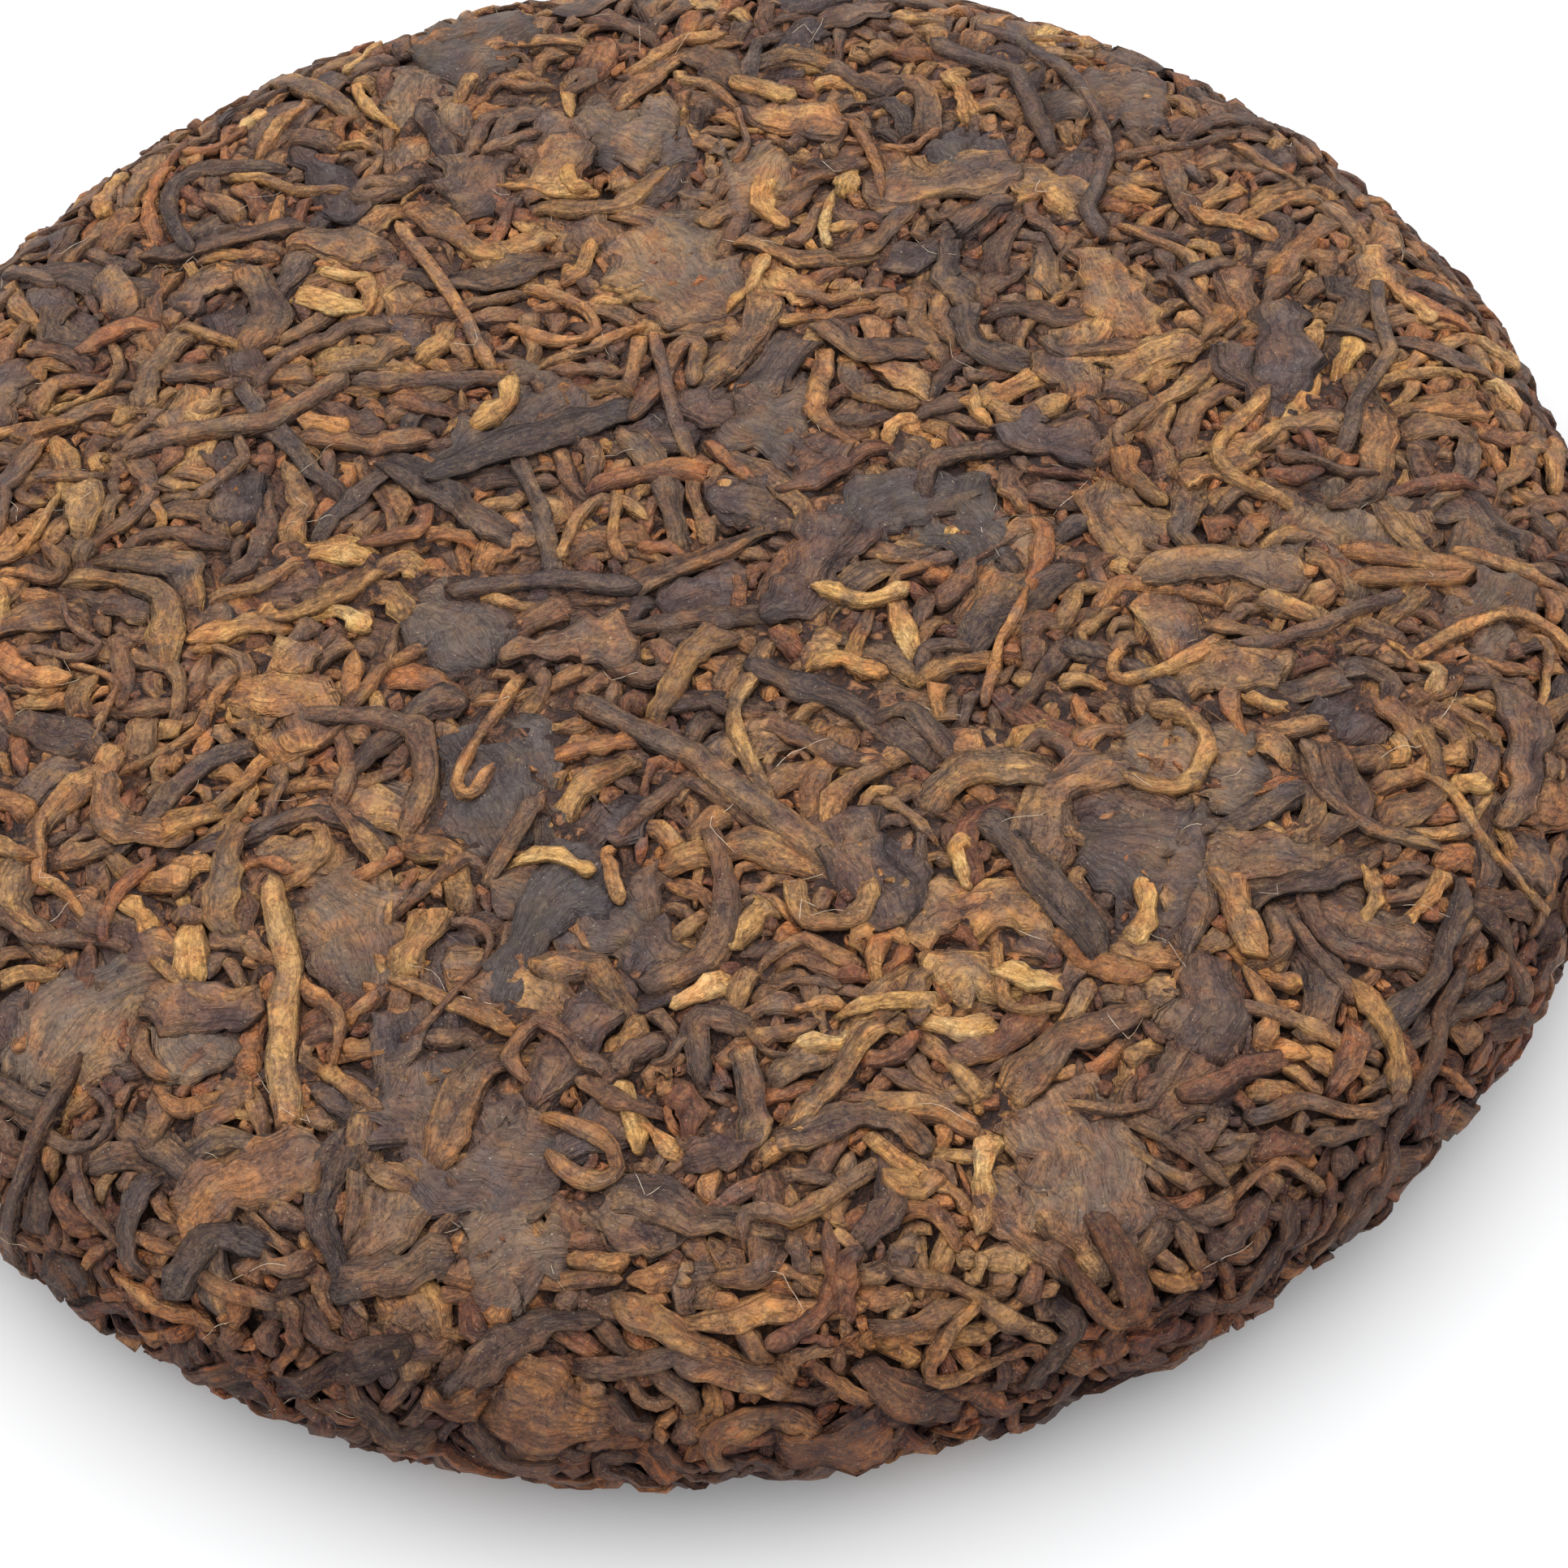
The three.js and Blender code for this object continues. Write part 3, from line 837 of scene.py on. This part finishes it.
def cake_core(mould):
    """The body of crumbled leaf under the strips, drawn up ring by ring along the mould's section."""
    wanted = np.linspace(0, mould.total, CORE_RINGS)
    out_radius = np.interp(wanted, mould.along, mould.out_radius)
    out_height = np.interp(wanted, mould.along, mould.out_height)
    depth = CORE_DEPTH + (RIM_CORE_DEPTH - CORE_DEPTH) * np.clip(out_radius, 0, 1) ** 2
    radius = np.maximum(np.interp(wanted, mould.along, mould.radius) - out_radius * depth, 0.4 * MM)
    height = np.interp(wanted, mould.along, mould.height) - out_height * depth
    bpy.ops.mesh.primitive_circle_add(vertices=CORE_SEGMENTS, radius=radius[0], fill_type="NGON",
                                      location=(0, 0, height[0]))
    core = bpy.context.object
    core.name = "crumbled_core"
    bpy.ops.object.transform_apply(location=True, rotation=True, scale=True)
    bpy.ops.object.mode_set(mode="EDIT")
    bpy.ops.mesh.select_all(action="SELECT")
    for i in range(1, len(wanted)):
        rise = height[i] - height[i - 1]
        bpy.ops.mesh.extrude_region_move(TRANSFORM_OT_translate={"value": (0, 0, rise)})
        ratio = radius[i] / radius[i - 1]
        bpy.ops.transform.resize(value=(ratio, ratio, 1), center_override=(0, 0, height[i]))
    bpy.ops.mesh.select_all(action="SELECT")
    bpy.ops.mesh.normals_make_consistent(inside=False)
    bpy.ops.object.mode_set(mode="OBJECT")
    crumble = bpy.data.textures.new("crumble", "CLOUDS")
    crumble.noise_scale = CRUMBLE_WIDTH
    crumble.noise_depth = 1
    smooth = core.modifiers.new("rounded", "SUBSURF")
    smooth.levels = smooth.render_levels = 2
    rough = core.modifiers.new("crumbled", "DISPLACE")
    rough.texture = crumble
    rough.strength = CRUMBLE_HEIGHT
    rough.mid_level = 0.5
    for modifier in ("rounded", "crumbled"):
        bpy.ops.object.modifier_apply(modifier=modifier)
    bpy.ops.object.shade_smooth()
    core.select_set(False)
    return core


def core_finish():
    """Dust and crumbs of leaf, packed between the strips, with painted shade in the gaps between the strips.
    """
    f = Finish("crumbled_core")
    place = f.node("ShaderNodeTexCoord", {}, {})["Object"]
    lumps = f.noise(place, 750.0, 4.0, 0.6, 0.6)
    edges = (lumps * 2.0 - 1.0).size()
    grains = f.noise(place, 2600.0, 3.0, 0.65)
    # Dark brown crumbs, pushed near black as painted shade in the gaps between the strips, and darker along
    # the valleys between the lumps, a painted shade too.
    colour = f.ramp((grains * 0.5 + f.noise(place, 330.0, 2.0) * 0.6 + edges - 0.1).clamped(), [
        (0.25, linear(32, 20, 20)), (0.5, linear(68, 45, 37)), (0.7, linear(112, 74, 51)),
        (0.95, linear(160, 110, 70))])
    height = (edges * 4.0).clamped() + grains * 0.4
    bump = f.relief(height, 0.45 * MM)
    return f.surface(Base_Color=colour, Roughness=0.8, Normal=bump)


def hair_finish():
    """Pale down from the tea buds."""
    f = Finish("pale_hairs")
    place = f.node("ShaderNodeTexCoord", {}, {})["Object"]
    colour = f.ramp(f.noise(place, 900.0, 1.0), [(0.3, linear(186, 160, 132)), (0.7, linear(226, 208, 184))])
    return f.surface(Base_Color=colour, Roughness=0.6)


def pale_table():
    """A plain pale surface under the cake."""
    bpy.ops.mesh.primitive_grid_add(x_subdivisions=4, y_subdivisions=4, size=TABLE_SIZE,
                                    location=(0, 0, -TABLE_DROP))
    table = bpy.context.object
    table.name = "pale_table"
    f = Finish("pale_table")
    place = f.node("ShaderNodeTexCoord", {}, {})["Object"]
    colour = f.ramp(f.noise(place, 2.0, 1.0), TABLE_TONES)
    table.data.materials.append(f.surface(Base_Color=colour, Roughness=0.9))
    table.select_set(False)


def soft_light(name, place, target, size, power, colour):
    data = bpy.data.lights.new(name, "AREA")
    data.shape = "DISK"
    data.size = size
    data.energy = power
    data.color = colour
    light = bpy.data.objects.new(name, data)
    light.location = place
    light.rotation_euler = (Vector(target) - Vector(place)).to_track_quat("-Z", "Y").to_euler()
    bpy.context.scene.collection.objects.link(light)


def studio():
    scene = bpy.context.scene
    scene.view_settings.view_transform = "Standard"
    world = bpy.data.worlds.new("studio")
    scene.world = world
    world.use_nodes = True
    sky = world.node_tree.nodes["Background"]
    sky.inputs["Color"].default_value = SKY_COLOUR
    sky.inputs["Strength"].default_value = SKY_STRENGTH
    soft_light("overhead", LAMP_PLACE, LAMP_TARGET, LAMP_SIZE, LAMP_POWER, LAMP_COLOUR)


def photograph_camera():
    """A camera at the photograph's angle, turned so that the cake's base lies where it does there."""
    eye = CAMERA_DISTANCE * Vector((0, -math.cos(CAMERA_ELEVATION), math.sin(CAMERA_ELEVATION)))
    forward = -eye.normalized()
    right = Vector((1, 0, 0))
    level = Matrix((right, right.cross(forward), forward))
    middle = IMAGE_SIZE / 2
    seen_at = Vector(((BASE_AT_PX[0] - middle) / FOCAL_PX, (middle - BASE_AT_PX[1]) / FOCAL_PX, 1))
    aim = Vector((0, 0, 1)).rotation_difference(seen_at.normalized()).to_matrix()
    view = aim @ Matrix.Rotation(CAMERA_ROLL, 3, "Z") @ level
    data = bpy.data.cameras.new("photograph")
    data.sensor_width = SENSOR
    data.lens = FOCAL_PX / IMAGE_SIZE * SENSOR
    data.clip_start = 0.01
    camera = bpy.data.objects.new("photograph", data)
    turn = view.transposed() @ Matrix.Diagonal((1, 1, -1))
    camera.matrix_world = Matrix.Translation(eye) @ turn.to_4x4()
    bpy.context.scene.collection.objects.link(camera)
    bpy.context.scene.camera = camera


photograph_camera()
studio()
pale_table()

mould = Mould()
roof = Roof(mould)

# The kinds of leaf: name, length, half width and thickness in millimetres, and how each lies.
STALK = Kind("stalks", (10, 21), (0.4, 0.8), (0.8, 1.1), turn=0.3, wiggle=0.07, depth=(0, 0.15), folds=0.05,
             groove=0.15, blunt=(8, 20), crumple=0.05, uneven=0.1, tucked=0.5)
HOOK = Kind("hooks", (8, 15), (0.35, 0.7), (0.6, 0.95), turn=1.2, wiggle=0.25, depth=(0, 0.25), hook=2.6,
            tucked=0.85, rim_share=3.0)
CURL = Kind("curled_ribbons", (6, 13), (0.22, 0.42), (0.6, 1.0), turn=1.6, wiggle=0.45, depth=(0, 0.3),
            folds=0.08, sides=8, rim_heading=1.0, skew=0.2, rim_share=4.0)
BUD = Kind("golden_buds", (3, 8), (0.35, 0.75), (0.5, 0.8), turn=0.7, wiggle=0.2, depth=(0, 0.25), folds=0.11,
           groove=0.45, blunt=(2.2, 7), sides=9, crumple=0.1, uneven=0.3)
ROLL = Kind("rolled_strips", (6, 14), (0.5, 1.05), (0.6, 0.95), turn=0.8, wiggle=0.18, folds=0.15, groove=0.8,
            sides=11, crumple=0.08, uneven=0.25, tucked=0.85)
PAD = Kind("folded_leaves", (5, 11), (1.0, 2.0), (0.65, 0.9), turn=0.5, wiggle=0.2, folds=0.12, groove=0.8,
           sides=14, crumple=0.13, uneven=0.33, rim_share=-0.85)
PLATE = Kind("flat_leaves", (8, 13), (3.0, 4.6), (0.3, 0.4), turn=0.4, wiggle=0.1, depth=(0.05, 0.2),
             sides=26, blunt=(2.2, 5), flat=True, uneven=0.35, rim_share=-0.9)
BROAD = Kind("broad_leaves", (6, 12), (2.0, 3.6), (0.25, 0.35), turn=0.4, wiggle=0.1, sides=22,
             blunt=(2.2, 5), flat=True, uneven=0.35, rim_share=-0.95)
MEDIUM = Kind("brown_strips", (4, 12), (0.36, 0.78), (0.5, 0.85), turn=0.9, wiggle=0.25, folds=0.15,
              groove=0.8, sides=8, crumple=0.08, uneven=0.28)
RUST = Kind("rust_strips", (3, 9), (0.34, 0.75), (0.5, 0.8), turn=0.9, wiggle=0.28, folds=0.14, groove=0.7,
            sides=8, crumple=0.1, uneven=0.3)
SHORT = Kind("short_strips", (2, 6), (0.3, 0.7), (0.45, 0.75), turn=1.0, wiggle=0.25, folds=0.15, groove=0.4,
             sides=8, crumple=0.11, uneven=0.35, tucked=0.55)
CRUMB = Kind("crumbs", (1.2, 3.1), (0.22, 0.55), (0.35, 0.6), turn=0.9, wiggle=0.2, folds=0.2, groove=0.0,
             sides=6, blunt=(2, 6), crumple=0.16, uneven=0.4, skew=0.8, tucked=0.0, rim_share=-0.4)
HAIR = Kind("pale_hairs", (1.2, 4.6), (0.01, 0.019), (0.03, 0.05), turn=1.0, wiggle=0.35, sides=4,
            blunt=(6, 12), folds=0.0, groove=0.0, crumple=0.0, uneven=0.0, rim_heading=1.0)
HAIR_COUNT = 240

# The order in which they are laid: how many, and how much of each has to lie where the cake is still bare.
for kind, wanted, least_bare in (
    (STALK, 44, 0.7), (HOOK, 66, 0.8), (BUD, 90, 0.8), (ROLL, 80, 0.7), (CURL, 70, 0.8),
    (PLATE, 12, 0.7), (ROLL, 90, 0.7), (PAD, 110, 0.6), (BROAD, 50, 0.5), (RUST, 110, 0.6),
    (CURL, 80, 0.5), (MEDIUM, 340, 0.55), (BUD, 140, 0.5), (ROLL, 150, 0.4), (PAD, 120, 0.35),
    (MEDIUM, 300, 0.4), (RUST, 210, 0.4), (CURL, 80, 0.3), (SHORT, 600, 0.35), (PAD, 40, 0.25),
    (MEDIUM, 180, 0.25), (RUST, 110, 0.25), (SHORT, 1000, 0.25), (CRUMB, 2500, 0.2),
):
    lay(mould, roof, kind, wanted, least_bare)

strew(mould, roof, HAIR, HAIR_COUNT)

# The leaves' colours, from the darkest to the palest.
DARK = [(0.0, linear(68, 57, 59)), (0.3, linear(94, 75, 69)), (0.6, linear(134, 103, 78)),
        (0.85, linear(177, 132, 85)), (1.0, linear(205, 158, 99))]
BROWN = [(0.0, linear(76, 57, 53)), (0.35, linear(121, 89, 70)), (0.7, linear(166, 122, 78)),
         (1.0, linear(206, 156, 96))]
RUSTY = [(0.0, linear(82, 53, 46)), (0.35, linear(131, 85, 61)), (0.7, linear(174, 117, 70)),
         (1.0, linear(207, 149, 89))]
GOLD = [(0.0, linear(124, 88, 58)), (0.35, linear(187, 137, 83)), (0.7, linear(221, 169, 102)),
        (1.0, linear(242, 199, 134))]
FLAT = [(0.0, linear(66, 59, 61)), (0.35, linear(89, 77, 72)), (0.7, linear(119, 97, 80)),
        (1.0, linear(160, 124, 88))]

# Each kind's colours, how fibrous it looks and how deep its creases are.
for kind, stops, fibrous, relief in (
    (STALK, DARK, 0.8, 1.0), (HOOK, BROWN, 1.0, 1.0), (CURL, BROWN, 1.0, 1.0), (BUD, GOLD, 1.0, 1.0),
    (ROLL, DARK, 1.0, 1.0), (PAD, DARK, 0.35, 0.8), (PLATE, FLAT, 0.2, 0.45), (BROAD, FLAT, 0.25, 0.45),
    (MEDIUM, BROWN, 1.0, 1.0), (RUST, RUSTY, 0.8, 1.0), (SHORT, BROWN, 0.8, 1.0), (CRUMB, RUSTY, 0.5, 1.0),
):
    ride_and_slot(piece_from(mould, kind), leaf_finish(kind.name, stops, relief=relief, fibrous=fibrous))
ride_and_slot(piece_from(mould, HAIR), hair_finish())

core = ride_and_slot(cake_core(mould), core_finish())
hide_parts(CAKE)
